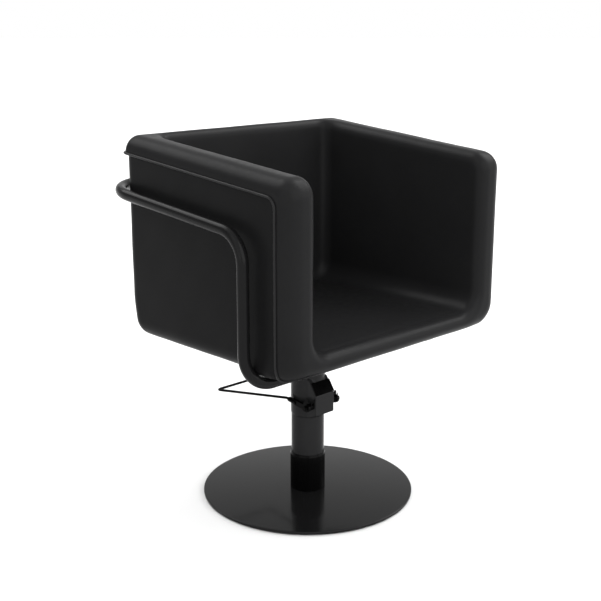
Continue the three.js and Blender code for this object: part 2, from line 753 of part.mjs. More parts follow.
// A clamp around the rail's cross run, with an ear and a screw on each side of it.
function saddles() {
  const inner = TUBE_RADIUS + GAP;
  const outer = inner + SADDLE.strap;
  const earTop = BOTTOM - GAP;
  const earLow = earTop - SADDLE.strap;
  const steps = 10;
  const arc = Array.from({ length: steps + 1 }, (_, k) => {
    const angle = Math.PI + (Math.PI * k) / steps;
    return new THREE.Vector2(
      RAIL_FRONT + outer * Math.cos(angle),
      RAIL_LOW + outer * Math.sin(angle),
    );
  });
  const clamp = new THREE.Shape([
    new THREE.Vector2(RAIL_FRONT - SADDLE.reach, earTop),
    new THREE.Vector2(RAIL_FRONT - SADDLE.reach, earLow),
    new THREE.Vector2(RAIL_FRONT - outer, earLow),
    ...arc,
    new THREE.Vector2(RAIL_FRONT + outer, earLow),
    new THREE.Vector2(RAIL_FRONT + SADDLE.reach, earLow),
    new THREE.Vector2(RAIL_FRONT + SADDLE.reach, earTop),
  ]);
  const bore = Array.from({ length: 2 * steps }, (_, k) => {
    const angle = (-Math.PI * k) / steps;
    return new THREE.Vector2(
      RAIL_FRONT + inner * Math.cos(angle),
      RAIL_LOW + inner * Math.sin(angle),
    );
  });
  clamp.holes.push(new THREE.Path(bore));
  for (const { name, sign } of SIDES) {
    const middle = sign * SADDLE.x;
    const body = alongX(clamp, middle - SADDLE.half, middle + SADDLE.half);
    add(`saddle_${name}`, cut(body, ...boltHoles(saddleScrews, SADDLE.screwHole)), STEEL);
  }
  saddleScrews.forEach((at, i) => {
    const screw = turned(
      [
        [0, earLow - GAP - 3],
        [4.5, earLow - GAP - 2],
        [4.5, earLow - GAP],
        [2.5, earLow - GAP],
        [2.5, BOTTOM + BOARD_THICK - 2],
        [0, BOTTOM + BOARD_THICK - 2],
      ],
      10,
    );
    add(`saddle_screw_${i + 1}`, screw, DARK_STEEL).position.set(at.x, at.y, 0);
  });
}

// ---- Foot pedal and plunger ---------------------------------------------------------------
const pinPlace = { x: 0, y: PIN.y, z: PIN.z };

// Parts of the yoke are made with the pin at the origin and the arm along +Y, then tilted so
// that the arm's far end rises, and moved to the pin.
function ontoPin(geometry) {
  return geometry.rotateX(Math.asin(YOKE.rise / YOKE.length)).translate(0, PIN.y, PIN.z);
}

function yokeArm(name, sign) {
  const origin = { x: 0, y: 0, z: 0 };
  const [low, high] = [sign * YOKE.near, sign * YOKE.far].sort((a, b) => a - b);
  const middle = { x: (low + high) / 2, y: 0, z: 0 };
  const barEnd = YOKE.length - YOKE.socket;
  const lug = new THREE.Shape([
    new THREE.Vector2(-2, YOKE.halfHeight - 2),
    new THREE.Vector2(12, YOKE.halfHeight - 2),
    new THREE.Vector2(3, YOKE.halfHeight + 14),
  ]);
  const arm = join(
    rod("x", YOKE.eye, low, high, origin, 20),
    box([low, 0, -YOKE.halfHeight], [high, barEnd, YOKE.halfHeight]),
    rod("y", YOKE.halfHeight, barEnd - YOKE.socket, YOKE.length, middle, 12),
    alongX(lug, low, high),
  );
  const eye = rod("x", PIN.radius + GAP, low - 1, high + 1, origin, 16);
  const socket = rod("y", ROD_RADIUS + 0.5, barEnd, YOKE.length + 1, middle, 12);
  add(`yoke_arm_${name}`, ontoPin(cut(arm, eye, socket)), DARK_STEEL);
}

function shaftNut(name, sign) {
  const nut = { radius: 7, thick: 5 };
  const centre = sign * (YOKE.far + GAP + nut.thick / 2);
  const hexagon = new THREE.CylinderGeometry(nut.radius, nut.radius, nut.thick, 6)
    .rotateZ(Math.PI / 2)
    .translate(centre, PIN.y, PIN.z);
  const bore = rod("x", PIN.radius + GAP, centre - nut.thick, centre + nut.thick, pinPlace, 16);
  add(`shaft_nut_${name}`, cut(hexagon, bore), DARK_STEEL);
}

// A wire coil around the pin with both ends standing up, one against the block and one behind
// the yoke arm's lug. It holds the pedal up.
function returnSpring(name, sign) {
  const perTurn = 12;
  const count = SPRING.turns * perTurn;
  const pitch = (SPRING.far - SPRING.near) / count;
  const points = [vec(sign * SPRING.near, -SPRING.radius, SPRING.leg)];
  for (let k = 0; k <= count; k += 1) {
    const angle = Math.PI + (2 * Math.PI * k) / perTurn;
    const x = sign * (SPRING.near + pitch * k);
    points.push(vec(x, SPRING.radius * Math.cos(angle), SPRING.radius * Math.sin(angle)));
  }
  points.push(vec(sign * SPRING.far, -SPRING.radius - 3, SPRING.leg));
  const wire = new BentPath(points, points.map(() => 0.6), 1);
  add(`return_spring_${name}`, ontoPin(bent(wire, SPRING.wire, 0, 6)), DARK_STEEL);
}

function pedalLoop() {
  const side = (YOKE.near + YOKE.far) / 2;
  const tilt = Math.asin(YOKE.rise / YOKE.length);
  const along = (distance, x) => {
    return vec(x, PIN.y + distance * Math.cos(tilt), PIN.z + distance * Math.sin(tilt));
  };
  const tip = YOKE.length - YOKE.socket + 1;
  const bend = YOKE.length + 8;
  const loop = new BentPath(
    [
      along(tip, -side),
      along(bend, -side),
      vec(-PEDAL_CORNER.x, PEDAL_CORNER.y, PEDAL_CORNER.z),
      vec(PEDAL_CORNER.x, PEDAL_CORNER.y, PEDAL_CORNER.z),
      along(bend, side),
      along(tip, side),
    ],
    [25, 9, 9, 25],
    4,
  );
  add("pedal_loop", bent(loop, ROD_RADIUS, 0, 8), DARK_STEEL);
}

function pedal() {
  add("pivot_shaft", rod("x", PIN.radius, -PIN.half, PIN.half, pinPlace, 16), DARK_STEEL);
  const nose = { x: 0, y: PLUNGER_Y, z: PIN.z };
  const cam = join(
    rod("x", CAM.hub, -CAM.half, CAM.half, pinPlace, 20),
    rod("x", CAM.nose, -CAM.half, CAM.half, nose, 16),
    box([-CAM.half, PIN.y, PIN.z - CAM.nose], [CAM.half, PLUNGER_Y, PIN.z + CAM.nose]),
  );
  const bore = rod("x", PIN.radius + GAP, -CAM.half - 1, CAM.half + 1, pinPlace, 16);
  add("cam", cut(cam, bore), DARK_STEEL);
  for (const { name, sign } of SIDES) {
    yokeArm(name, sign);
    shaftNut(name, sign);
    returnSpring(name, sign);
  }
  pedalLoop();
  const top = PIN.z - CAM.nose - 0.5;
  const plunger = rod("z", PLUNGER.radius, top - PLUNGER.length, top, { x: 0, y: PLUNGER_Y }, 12);
  add("pump_plunger", plunger, BRIGHT_STEEL);
}

floorDisc();
pumpHead();
ram();
swivelMount();
tubFrame();
for (const { name, sign } of SIDES) armPad(name, sign);
seatPad();
backPad();
tubeRail();
saddles();
pedal();

export default chair;
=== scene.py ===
"""Looks of the salon styling chair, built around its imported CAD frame. Metres, +Z up."""
import json
import math

import bpy
import numpy as np
from mathutils import Matrix, Vector


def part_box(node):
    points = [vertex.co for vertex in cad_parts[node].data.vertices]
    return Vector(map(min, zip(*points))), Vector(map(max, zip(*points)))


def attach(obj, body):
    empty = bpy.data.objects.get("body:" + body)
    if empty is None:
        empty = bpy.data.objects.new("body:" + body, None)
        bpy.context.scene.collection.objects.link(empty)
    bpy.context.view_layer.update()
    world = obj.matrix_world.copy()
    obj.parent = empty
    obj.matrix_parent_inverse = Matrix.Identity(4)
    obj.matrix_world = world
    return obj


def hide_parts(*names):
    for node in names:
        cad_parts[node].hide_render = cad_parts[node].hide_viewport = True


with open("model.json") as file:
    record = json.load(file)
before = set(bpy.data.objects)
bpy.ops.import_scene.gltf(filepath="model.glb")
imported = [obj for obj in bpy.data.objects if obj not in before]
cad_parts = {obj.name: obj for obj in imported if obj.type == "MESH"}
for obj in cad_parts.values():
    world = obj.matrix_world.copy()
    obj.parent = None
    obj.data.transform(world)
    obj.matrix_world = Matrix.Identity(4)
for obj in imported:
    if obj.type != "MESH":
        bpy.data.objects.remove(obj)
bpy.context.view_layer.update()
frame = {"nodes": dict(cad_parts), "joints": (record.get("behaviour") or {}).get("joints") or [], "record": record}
nodes = frame["nodes"]
scene = bpy.context.scene
scene.view_settings.view_transform = "Standard"

# ---- Camera -------------------------------------------------------------------------------
CAMERA_PLACE = Vector((-1.6794, -1.7083, 1.0999))
CAMERA_AZIMUTH = math.radians(-44.10)
CAMERA_ELEVATION = math.radians(14.75)
CAMERA_LENS = 64.17


def make_camera():
    data = bpy.data.cameras.new("camera")
    data.lens = CAMERA_LENS
    data.sensor_width = 36
    data.clip_start, data.clip_end = 0.05, 60
    camera = bpy.data.objects.new("camera", data)
    scene.collection.objects.link(camera)
    turn = Matrix.Rotation(CAMERA_AZIMUTH, 4, "Z")
    tilt = Matrix.Rotation(math.pi / 2 - CAMERA_ELEVATION, 4, "X")
    camera.matrix_world = Matrix.Translation(CAMERA_PLACE) @ turn @ tilt
    scene.camera = camera


# ---- Sizes taken from the frame -----------------------------------------------------------
arm_low, arm_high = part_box("arm_pad_left")
seat_low, seat_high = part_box("seat_pad")
back_low, back_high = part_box("back_pad")
disc_low, disc_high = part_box("floor_disc")
OUT_X, IN_X = -arm_low.x, -arm_high.x
FRONT, BACK, BACK_IN = arm_low.y, arm_high.y, back_low.y
LOW, SEAT = arm_low.z, seat_high.z
TOP_SLOPE = 0.0923
TOP = back_high.z - TOP_SLOPE * BACK
PIN = Vector(next(j["pos_m"] for j in frame["joints"] if j["name"] == "pedal_pump"))
YOKE_LENGTH, YOKE_RISE = 0.059, 0.007
SEAM = 0.038  # from the tub's top edge down to the welt
SEAM_Y = FRONT + 0.039
SEAT_VALLEY = FRONT + 0.031  # a faint crease behind the seat's front roll
SLEEVE_TAPER = 0.006
RAIL_SLOPE = 0.098
RAIL_BENDS = {"lower": 0.076, "upper": 0.064, "rear": 0.097}

# Radii of the tub's rolled edges, and by how much some of them shrink along the way
ROUND = {
    "bottom": 0.056,
    "bottom_front_less": 0.018,
    "bottom_hoop_less": 0.021,
    "low_back": 0.044,
    "front_seat_less": 0.005,
    "seat_sides": 0.046,
    "seat_back": 0.026,
    "inner": 0.026,
    "inner_back_less": 0.008,
}
CROWN, CREASE, SWELL, UNEVENNESS = 0.004, 0.0012, 0.0025, 0.00022

# How far the upholstery and its cover turn in at the seam, as (along, off the surface) rows
BORDER_EDGE = [(0.0006, -0.0002), (0.0010, -0.0010), (0.0010, -0.0045), (0.0, -0.012)]
COVER_EDGE = [(-0.0022, -0.0004), (-0.0014, -0.0020), (-0.0012, -0.0045), (-0.0012, -0.010)]
COVER_INSET, COVER_CORNER = 0.0018, 0.029
WELT_RADIUS, WELT_LIFT = 0.0027, 0.0016


# ---- Mesh helpers -------------------------------------------------------------------------
def mesh_object(name, points, faces, material, sharp=None):
    mesh = bpy.data.meshes.new(name)
    mesh.from_pydata([tuple(p) for p in points], [], [tuple(f) for f in faces])
    mesh.update()
    mesh.shade_smooth()
    if sharp is not None:
        mesh.set_sharp_from_angle(angle=math.radians(sharp))
    mesh.materials.append(material)
    obj = bpy.data.objects.new(name, mesh)
    scene.collection.objects.link(obj)
    return obj


def subdivide(obj, levels=1):
    modifier = obj.modifiers.new("smooth", "SUBSURF")
    modifier.levels = modifier.render_levels = levels
    return obj


def unit(vectors):
    return vectors / np.maximum(np.linalg.norm(vectors, axis=-1, keepdims=True), 1e-12)


def lathe(name, profile, material, segments=128, centre=(0, 0), sharp=35):
    """A closed solid of revolution about Z from (radius, height) pairs; a radius of 0 is a pole."""
    points, rings = [], []
    for radius, height in profile:
        if radius == 0:
            rings.append([len(points)])
            points.append((centre[0], centre[1], height))
            continue
        rings.append(list(range(len(points), len(points) + segments)))
        for k in range(segments):
            angle = 2 * math.pi * k / segments
            points.append(
                (centre[0] + radius * math.cos(angle), centre[1] + radius * math.sin(angle), height)
            )
    faces = []
    pairs = list(zip(rings, rings[1:]))
    if profile[0][0] > 0:
        pairs.append((rings[-1], rings[0]))
    for low, high in pairs:
        for k in range(segments):
            after = (k + 1) % segments
            if len(low) == 1:
                faces.append((low[0], high[after], high[k]))
            elif len(high) == 1:
                faces.append((low[k], low[after], high[0]))
            else:
                faces.append((low[k], low[after], high[after], high[k]))
    return mesh_object(name, points, faces, material, sharp)


def round_corners(profile, radius, steps=5):
    """Replaces each inner point of an open (r, z) profile with a small arc."""
    points = [np.array(p, float) for p in profile]
    out = [tuple(points[0])]
    for before, corner, after in zip(points, points[1:], points[2:]):
        a, b = unit(before - corner), unit(after - corner)
        half = math.acos(float(np.clip(a @ b, -1, 1))) / 2
        if half > math.radians(88):
            out.append(tuple(corner))
            continue
        back = min(radius / math.tan(half), 0.45 * np.linalg.norm(before - corner),
                   0.45 * np.linalg.norm(after - corner))
        r = back * math.tan(half)
        middle = corner + unit(a + b) * (r / math.sin(half))
        start, end = corner + a * back, corner + b * back
        for k in range(steps + 1):
            share = k / steps
            direction = unit((start - middle) * (1 - share) + (end - middle) * share)
            out.append(tuple(middle + direction * r))
    out.append(tuple(points[-1]))
    return out


def bent_path(corners, radii, closed=False, step=math.radians(5)):
    """Points along straight runs joined by arcs, one radius per inner corner."""
    corners = [np.array(c, float) for c in corners]
    count = len(corners)
    out = [] if closed else [corners[0]]
    inner = range(count) if closed else range(1, count - 1)
    for n, i in enumerate(inner):
        corner = corners[i]
        into = unit(corner - corners[i - 1])
        leave = unit(corners[(i + 1) % count] - corner)
        turn = math.acos(float(np.clip(into @ leave, -1, 1)))
        radius = radii[n]
        start = corner - into * radius * math.tan(turn / 2)
        normal = unit(leave - into * (leave @ into))
        steps = max(3, math.ceil(turn / step))
        for k in range(steps + 1):
            angle = turn * k / steps
            out.append(
                start + into * radius * math.sin(angle) + normal * radius * (1 - math.cos(angle))
            )
    if not closed:
        out.append(corners[-1])
    return np.array(out)


def sweep(name, path, radius, material, sides=32, closed=False, normals=None, levels=0):
    """A round bar along a path. radius is one value or one per point."""
    path = np.asarray(path, float)
    count = len(path)
    if closed:
        tangent = unit(np.roll(path, -1, 0) - np.roll(path, 1, 0))
    else:
        tangent = unit(np.gradient(path, axis=0))
    across = np.zeros_like(path)
    first = normals[0] if normals is not None else np.array([0.31, 0.17, 0.93])
    across[0] = unit(first - tangent[0] * (first @ tangent[0]))
    for i in range(1, count):
        guide = normals[i] if normals is not None else across[i - 1]
        across[i] = unit(guide - tangent[i] * (guide @ tangent[i]))
    other = np.cross(tangent, across)
    twist = np.zeros(count)
    if closed and normals is None:
        last = unit(across[-1] - tangent[0] * (across[-1] @ tangent[0]))
        total = math.atan2(last @ other[0], last @ across[0])
        twist = -total * np.arange(count) / count
    radii = np.broadcast_to(np.asarray(radius, float), (count,))
    angles = 2 * np.pi * np.arange(sides) / sides
    around = angles[None, :] + twist[:, None]
    ring = (
        across[:, None] * np.cos(around)[..., None] + other[:, None] * np.sin(around)[..., None]
    )
    points = (path[:, None] + ring * radii[:, None, None]).reshape(-1, 3)
    faces = []
    for i in range(count if closed else count - 1):
        after = (i + 1) % count
        for k in range(sides):
            turn = (k + 1) % sides
            faces.append(
                (i * sides + k, i * sides + turn, after * sides + turn, after * sides + k)
            )
    if not closed:
        faces.append(tuple(reversed(range(sides))))
        faces.append(tuple(range((count - 1) * sides, count * sides)))
    obj = mesh_object(name, points, faces, material, 50)
    if levels:
        subdivide(obj, levels)
    return obj


# ---- Distance fields ----------------------------------------------------------------------
def round_and(a, b, radius):
    """The distance to the overlap of two solids, with the edge between them rounded."""
    u, v = np.maximum(a + radius, 0), np.maximum(b + radius, 0)
    return np.minimum(-radius, np.maximum(a, b)) + np.hypot(u, v)


def round_or(a, b, radius):
    return -round_and(-a, -b, radius)


def ease(value, start, end):
    share = np.clip((value - start) / (end - start), 0, 1)
    return share * share * (3 - 2 * share)


def gradient(field, points, reach=2e-4):
    steps = np.eye(3) * reach
    return unit(np.stack([field(points + s) - field(points - s) for s in steps], axis=-1))


def settle(field, points, rounds=14, most=0.008):
    """Moves points along the field's gradient until they lie on its surface."""
    points = points.copy()
    for _ in range(rounds):
        move = np.clip(field(points), -most, most)
        points -= gradient(field, points) * move[:, None]
    return points


def surface_net(field, low, high, step):
    """Quads of a field's zero surface on a grid, then settled onto it."""
    axes = [np.arange(a, b + step, step) for a, b in zip(low, high)]
    grid = np.stack(np.meshgrid(*axes, indexing="ij"), axis=-1)
    inside = field(grid.reshape(-1, 3)).reshape(grid.shape[:3]) < 0
    nx, ny, nz = (count - 1 for count in inside.shape)
    corners = sum(
        inside[i : nx + i, j : ny + j, k : nz + k].astype(int)
        for i in (0, 1) for j in (0, 1) for k in (0, 1)
    )
    cells = np.argwhere((corners > 0) & (corners < 8))
    number = -np.ones(corners.shape, int)
    number[tuple(cells.T)] = np.arange(len(cells))
    points = np.array(low) + (cells + 0.5) * step
    faces = []
    for axis in range(3):
        others = [a for a in range(3) if a != axis]
        near = np.take(inside, range(inside.shape[axis] - 1), axis)
        far = np.take(inside, range(1, inside.shape[axis]), axis)
        for start, end, flip in ((near, far, False), (far, near, True)):
            edges = np.argwhere(start & ~end)
            a, b = np.zeros(3, int), np.zeros(3, int)
            a[others[0]], b[others[1]] = 1, 1
            quad = [edges - a - b, edges - b, edges, edges - a]
            ids = np.stack([number[tuple(q.T)] for q in quad], axis=1)
            if flip != (axis == 1):
                ids = ids[:, ::-1]
            faces.append(ids)
    return settle(field, points, 6, step), np.concatenate(faces)


# ---- Materials ----------------------------------------------------------------------------
class Nodes:
    """A short way to wire a material's nodes."""

    def __init__(self, name):
        self.material = bpy.data.materials.new(name)
        self.material.use_nodes = True
        self.tree = self.material.node_tree
        self.shader = self.tree.nodes["Principled BSDF"]
        self.place = self.add("ShaderNodeTexCoord").outputs["Object"]

    def add(self, kind, inputs=None, **settings):
        node = self.tree.nodes.new(kind)
        for key, value in settings.items():
            setattr(node, key, value)
        for key, value in (inputs or {}).items():
            if isinstance(value, bpy.types.NodeSocket):
                self.tree.links.new(value, node.inputs[key])
            else:
                node.inputs[key].default_value = value
        return node

    def noise(self, scale, detail=3, roughness=0.5, at=None):
        inputs = {
            "Vector": at or self.place, "Scale": scale, "Detail": detail, "Roughness": roughness,
        }
        return self.add("ShaderNodeTexNoise", inputs).outputs["Fac"]

    def spread(self, value, low, high):
        """Maps 0.3 to 0.7, a noise's usual span, onto low to high."""
        inputs = {
            "Value": value, "From Min": 0.3, "From Max": 0.7, "To Min": low, "To Max": high,
        }
        return self.add("ShaderNodeMapRange", inputs).outputs["Result"]

    def mix(self, share, first, second):
        node = self.add("ShaderNodeMix", data_type="RGBA")
        self.link(share, node.inputs["Factor"])
        for socket, colour in ((node.inputs["A"], first), (node.inputs["B"], second)):
            socket.default_value = (*colour, 1)
        return node.outputs["Result"]

    def bump(self, height, strength, distance, under=None):
        inputs = {"Height": height, "Strength": strength, "Distance": distance}
        if under is not None:
            inputs["Normal"] = under
        return self.add("ShaderNodeBump", inputs).outputs["Normal"]

    def link(self, output, socket):
        self.tree.links.new(output, socket)

    def finish(self, colour, roughness, normal=None, **constants):
        self.link(colour, self.shader.inputs["Base Color"])
        self.link(roughness, self.shader.inputs["Roughness"])
        if normal is not None:
            self.link(normal, self.shader.inputs["Normal"])
        for key, value in constants.items():
            self.shader.inputs[key.replace("_", " ")].default_value = value
        return self.material


def grey(value):
    return (value, value, value * 1.03)


def leatherette(name, level, shade, rough):
    n = Nodes(name)
    colour = n.mix(n.noise(9, 3), grey(shade * 0.85), grey(shade * 1.15))
    pores = n.add("ShaderNodeTexVoronoi", {"Vector": n.place, "Scale": 850.0, "Randomness": 0.9},
                  feature="DISTANCE_TO_EDGE").outputs["Distance"]
    creases = n.noise(420, 4, 0.6)
    soft = n.bump(n.noise(14, 2), 0.25, 0.0006)
    coarse = n.bump(creases, 0.18, 0.0002, soft)
    normal = n.bump(pores, 0.22, 0.00025, coarse)
    patchy = n.spread(n.noise(60, 4), rough - 0.03, rough + 0.04)
    return n.finish(colour, patchy, normal, Specular_IOR_Level=level)


def coated_steel(name, shade, rough, grain, level):
    """Powder-coated or enamelled steel: a fine orange peel and faint handling marks."""
    n = Nodes(name)
    colour = n.mix(n.noise(22, 4), grey(shade * 0.85), grey(shade * 1.15))
    peel = n.bump(n.noise(900, 2, 0.5), grain, 0.00008)
    wear = n.noise(38, 5, 0.65)
    patchy = n.spread(wear, rough - 0.03, rough + 0.05)
    return n.finish(colour, patchy, peel, Specular_IOR_Level=level)


def bare_metal(name, colour, rough):
    """Turned metal with fine rings about its axis."""
    n = Nodes(name)
    dark = tuple(c * 0.82 for c in colour)
    tone = n.mix(n.noise(45, 4), dark, colour)
    wave = n.add("ShaderNodeTexWave", {"Vector": n.place, "Scale": 320.0, "Distortion": 0.6},
                 wave_type="BANDS", bands_direction="Z").outputs["Fac"]
    lines = n.bump(wave, 0.06, 0.00004)
    patchy = n.spread(n.noise(120, 3), rough - 0.04, rough + 0.06)
    return n.finish(tone, patchy, lines, Metallic=1.0)


def rubber():
    n = Nodes("black_rubber")
    colour = n.mix(n.noise(30, 4), grey(0.012), grey(0.022))
    normal = n.bump(n.noise(1500, 3), 0.25, 0.0001)
    return n.finish(colour, n.spread(n.noise(80, 3), 0.72, 0.85), normal, Specular_IOR_Level=0.3)


def plywood():
    n = Nodes("birch_plywood")
    stretch = n.add("ShaderNodeMapping", {"Vector": n.place, "Scale": (3, 40, 40)})
    grain = n.noise(6, 6, 0.6, stretch.outputs["Vector"])
    colour = n.mix(grain, (0.42, 0.28, 0.15), (0.62, 0.45, 0.27))
    return n.finish(colour, n.spread(grain, 0.55, 0.72), n.bump(grain, 0.2, 0.0003))


LEATHER = leatherette("black_leatherette", 0.04, 0.0088, 0.34)
PANEL = leatherette("panel_leatherette", 0.03, 0.0058, 0.33)
PIPING = leatherette("piping_leatherette", 0.12, 0.0088, 0.32)
SATIN = coated_steel("satin_black_coat", 0.013, 0.17, 0.012, 0.07)
DISC_BLACK = coated_steel("smooth_black_disc", 0.0045, 0.13, 0.006, 0.13)
TUBE_BLACK = coated_steel("semi_gloss_black_tube", 0.005, 0.22, 0.01, 0.08)
GLOSS = coated_steel("gloss_black_enamel", 0.0012, 0.2, 0.01, 0.04)
STEEL = bare_metal("ground_steel", (0.56, 0.57, 0.59), 0.28)
BRONZE = bare_metal("bearing_bronze", (0.5, 0.36, 0.17), 0.35)
RUBBER = rubber()
PLYWOOD = plywood()
SLOT_MATERIAL = {
    "upholstery": LEATHER,
    "black_coated_steel": SATIN,
    "black_gloss_steel": GLOSS,
    "bright_steel": STEEL,
    "bronze": BRONZE,
    "black_rubber": RUBBER,
    "plywood": PLYWOOD,
}


def dress_nodes():
    """Gives every CAD node the procedural material of its slot."""
    for row in frame["record"]["subparts"]:
        mesh = nodes[row["node"]].data
        mesh.materials.clear()
        mesh.materials.append(SLOT_MATERIAL[row["material_slot"]])
        mesh.shade_smooth()
        mesh.set_sharp_from_angle(angle=math.radians(35))


# ---- Tub upholstery -----------------------------------------------------------------------
def top_at(y):
    return TOP + TOP_SLOPE * y


def bump_between(value, low, high):
    share = np.clip((value - low) / (high - low), 0, 1)
    return (4 * share * (1 - share)) ** 0.8


def softness(p):
    """Slow, shallow unevenness of padded leatherette."""
    x, y, z = p.T
    return UNEVENNESS * (
        np.sin(31 * x + 17 * z + 0.4) * np.sin(27 * y - 11 * z + 1.3)
        + np.sin(53 * y + 29 * x + 2.1) * np.sin(41 * z + 19 * y + 0.7)
    )


def tub_field(p, inset=0.0, back_corner=0.018):
    """Distance to the whole tub: a rounded block with its seat space taken out."""
    x, y, z = p.T
    ax = np.abs(x)
    top_tilt = 1 / math.hypot(1, TOP_SLOPE)
    side = ax - (OUT_X - inset)
    bottom = (LOW + inset) - z
    top = (z - top_at(y) + inset) * top_tilt
    front = (FRONT + inset) - y
    back = y - (BACK - inset)
    under_hoop = ease(y, -0.256, -0.228) * ease(y, -0.12, -0.18)
    bottom_radius = ROUND["bottom"] - ROUND["bottom_front_less"] * ease(y, FRONT + 0.008, SEAM_Y)
    bottom_radius = bottom_radius - ROUND["bottom_hoop_less"] * under_hoop
    f = round_and(side, bottom, bottom_radius)
    f = round_and(f, top, SEAM)
    near_bar = ease(ax, IN_X + 0.04, IN_X - 0.02) * ease(z, SEAT + 0.05, SEAT)
    f = round_and(f, front, SEAM - ROUND["front_seat_less"] * near_bar)
    low_back = ease(z, LOW + 0.10, LOW + 0.01)
    f = round_and(f, back, back_corner + (ROUND["low_back"] - back_corner) * low_back)
    crown = CROWN * bump_between(ax, -IN_X, IN_X) * bump_between(y, FRONT, BACK_IN)
    crown -= CREASE * np.exp(-(((y - SEAT_VALLEY) / 0.007) ** 2))
    pad = SWELL * bump_between(z, SEAT, TOP) * bump_between(y, FRONT, BACK_IN)
    lean = SWELL * bump_between(z, SEAT, TOP) * bump_between(ax, -IN_X, IN_X)
    walls = ax - (IN_X - pad)
    floor = SEAT + crown - z
    cavity = round_and(walls, floor, ROUND["seat_sides"])
    cavity = round_and(cavity, y - (BACK_IN - lean), ROUND["seat_back"])
    roll = ROUND["inner"] - ROUND["inner_back_less"] * ease(y, BACK_IN - 0.05, BACK_IN)
    return round_and(f, -cavity, roll) - softness(p)


def spans(*stops):
    """Lattice lines: (start, end, number of steps) stretches joined together."""
    parts = [np.linspace(a, b, n + 1) for a, b, n in stops]
    return np.unique(np.round(np.concatenate(parts), 6))


def tub_lattice():
    """Lattice lines through the tub. Lines lie on the seam, so that it follows mesh edges."""
    half = spans((0, IN_X - 0.05, 14), (IN_X - 0.05, IN_X, 8), (IN_X, IN_X + 0.028, 5),
                 (IN_X + 0.028, OUT_X - SEAM, 2), (OUT_X - SEAM, OUT_X, 8))
    xs = np.unique(np.concatenate([-half, half]))
    ys = spans((FRONT, SEAM_Y, 8), (SEAM_Y, SEAM_Y + 0.04, 7), (SEAM_Y + 0.04, BACK_IN - 0.05, 20),
               (BACK_IN - 0.05, BACK_IN, 7), (BACK_IN, BACK, 7))
    zs = spans((LOW, SEAT, 7), (SEAT, SEAT + 0.055, 8), (SEAT + 0.055, TOP - 0.12, 13),
               (TOP - 0.12, TOP - SEAM, 11), (TOP - SEAM, TOP, 8))
    return xs, ys, zs


def seam_level(p):
    """Above 0 on the covered panels, below 0 on the rolled border, 0 on the seam."""
    return np.minimum(p[:, 1] - SEAM_Y, top_at(p[:, 1]) - SEAM - p[:, 2])


def round_seam_corner(p, radius=0.020, reach=0.03):
    """Turns the square corner of the seam on each side into an arc."""
    level = seam_level(p)
    near = np.abs(p[:, 0]) > OUT_X - 0.001
    weight = near * np.clip(1 - np.maximum(-level, 0) / reach, 0, 1) * (level < radius)
    for _ in range(6):
        a = p[:, 1] - SEAM_Y
        b = top_at(p[:, 1]) - SEAM - p[:, 2]
        da, db = np.maximum(radius - a, 0), np.maximum(radius - b, 0)
        reachable = np.hypot(da, db)
        g = np.where((da > 0) & (db > 0), radius - reachable, np.minimum(a, b))
        size = np.maximum(reachable, 1e-9)
        in_corner = (da > 0) & (db > 0)
        move = np.where(in_corner, (level - g) * weight, 0)
        p[:, 1] += move * da / size
        p[:, 2] -= move * db / size
    return p


def tub_faces():
    """Lattice points, and the quads of the border with its inside and of the outer cover."""
    xs, ys, zs = tub_lattice()
    rise = ease(zs, SEAT + 0.05, TOP - 0.12)
    grid = np.stack(np.meshgrid(xs, ys, zs, indexing="ij"), axis=-1)
    grid[..., 2] += TOP_SLOPE * grid[..., 1] * rise[None, None, :]
    mid = [(line[1:] + line[:-1]) / 2 for line in (xs, ys, zs)]
    cx, cy, cz = np.meshgrid(*mid, indexing="ij")
    solid = (np.abs(cx) > IN_X) | (cy > BACK_IN) | (cz < SEAT)
    number = np.arange(grid[..., 0].size).reshape(grid.shape[:3])
    points = grid.reshape(-1, 3)
    level = seam_level(points)
    border, cover = [], []
    for axis in range(3):
        u, v = (axis + 1) % 3, (axis + 2) % 3
        for side in (0, 1):
            for cell in np.argwhere(solid):
                beyond = cell.copy()
                beyond[axis] += 1 if side else -1
                outer = beyond[axis] < 0 or beyond[axis] >= solid.shape[axis]
                if not outer and solid[tuple(beyond)]:
                    continue
                corner = cell.copy()
                corner[axis] += side
                du, dv = np.zeros(3, int), np.zeros(3, int)
                du[u], dv[v] = 1, 1
                quad = [corner, corner + du, corner + du + dv, corner + dv]
                ids = [int(number[tuple(q)]) for q in quad]
                if not side:
                    ids.reverse()
                covered = outer and min(level[i] for i in ids) > -1e-6
                (cover if covered else border).append(ids)
    return points, border, cover


def used_only(points, faces):
    used = sorted({i for face in faces for i in face})
    index = {old: new for new, old in enumerate(used)}
    return points[used], [[index[i] for i in face] for face in faces]


def open_edge(faces):
    """The mesh's one open edge as an ordered loop of vertices."""
    after = {}
    edges = {(a, b) for face in faces for a, b in zip(face, face[1:] + face[:1])}
    for a, b in edges:
        if (b, a) not in edges:
            after[a] = b
    loop = [next(iter(sorted(after)))]
    while after[loop[-1]] != loop[0]:
        loop.append(after[loop[-1]])
    return loop


def tuck(points, faces, normals, rows):
    """Adds rows of faces beyond the open edge, each moved (along the surface, off it)."""
    loop = open_edge(faces)
    edge = points[loop]
    along = unit(np.roll(edge, -1, 0) - np.roll(edge, 1, 0))
    lift = normals[loop]
    away = unit(np.cross(along, lift))
    previous, faces = loop, list(faces)
    new = [points]
    count = len(points)
    for out, up in rows:
        new.append(edge + away * out + lift * up)
        current = list(range(count, count + len(loop)))
        count += len(loop)
        for k in range(len(loop)):
            after = (k + 1) % len(loop)
            faces.append([previous[after], previous[k], current[k], current[after]])
        previous = current
    return np.concatenate(new), faces


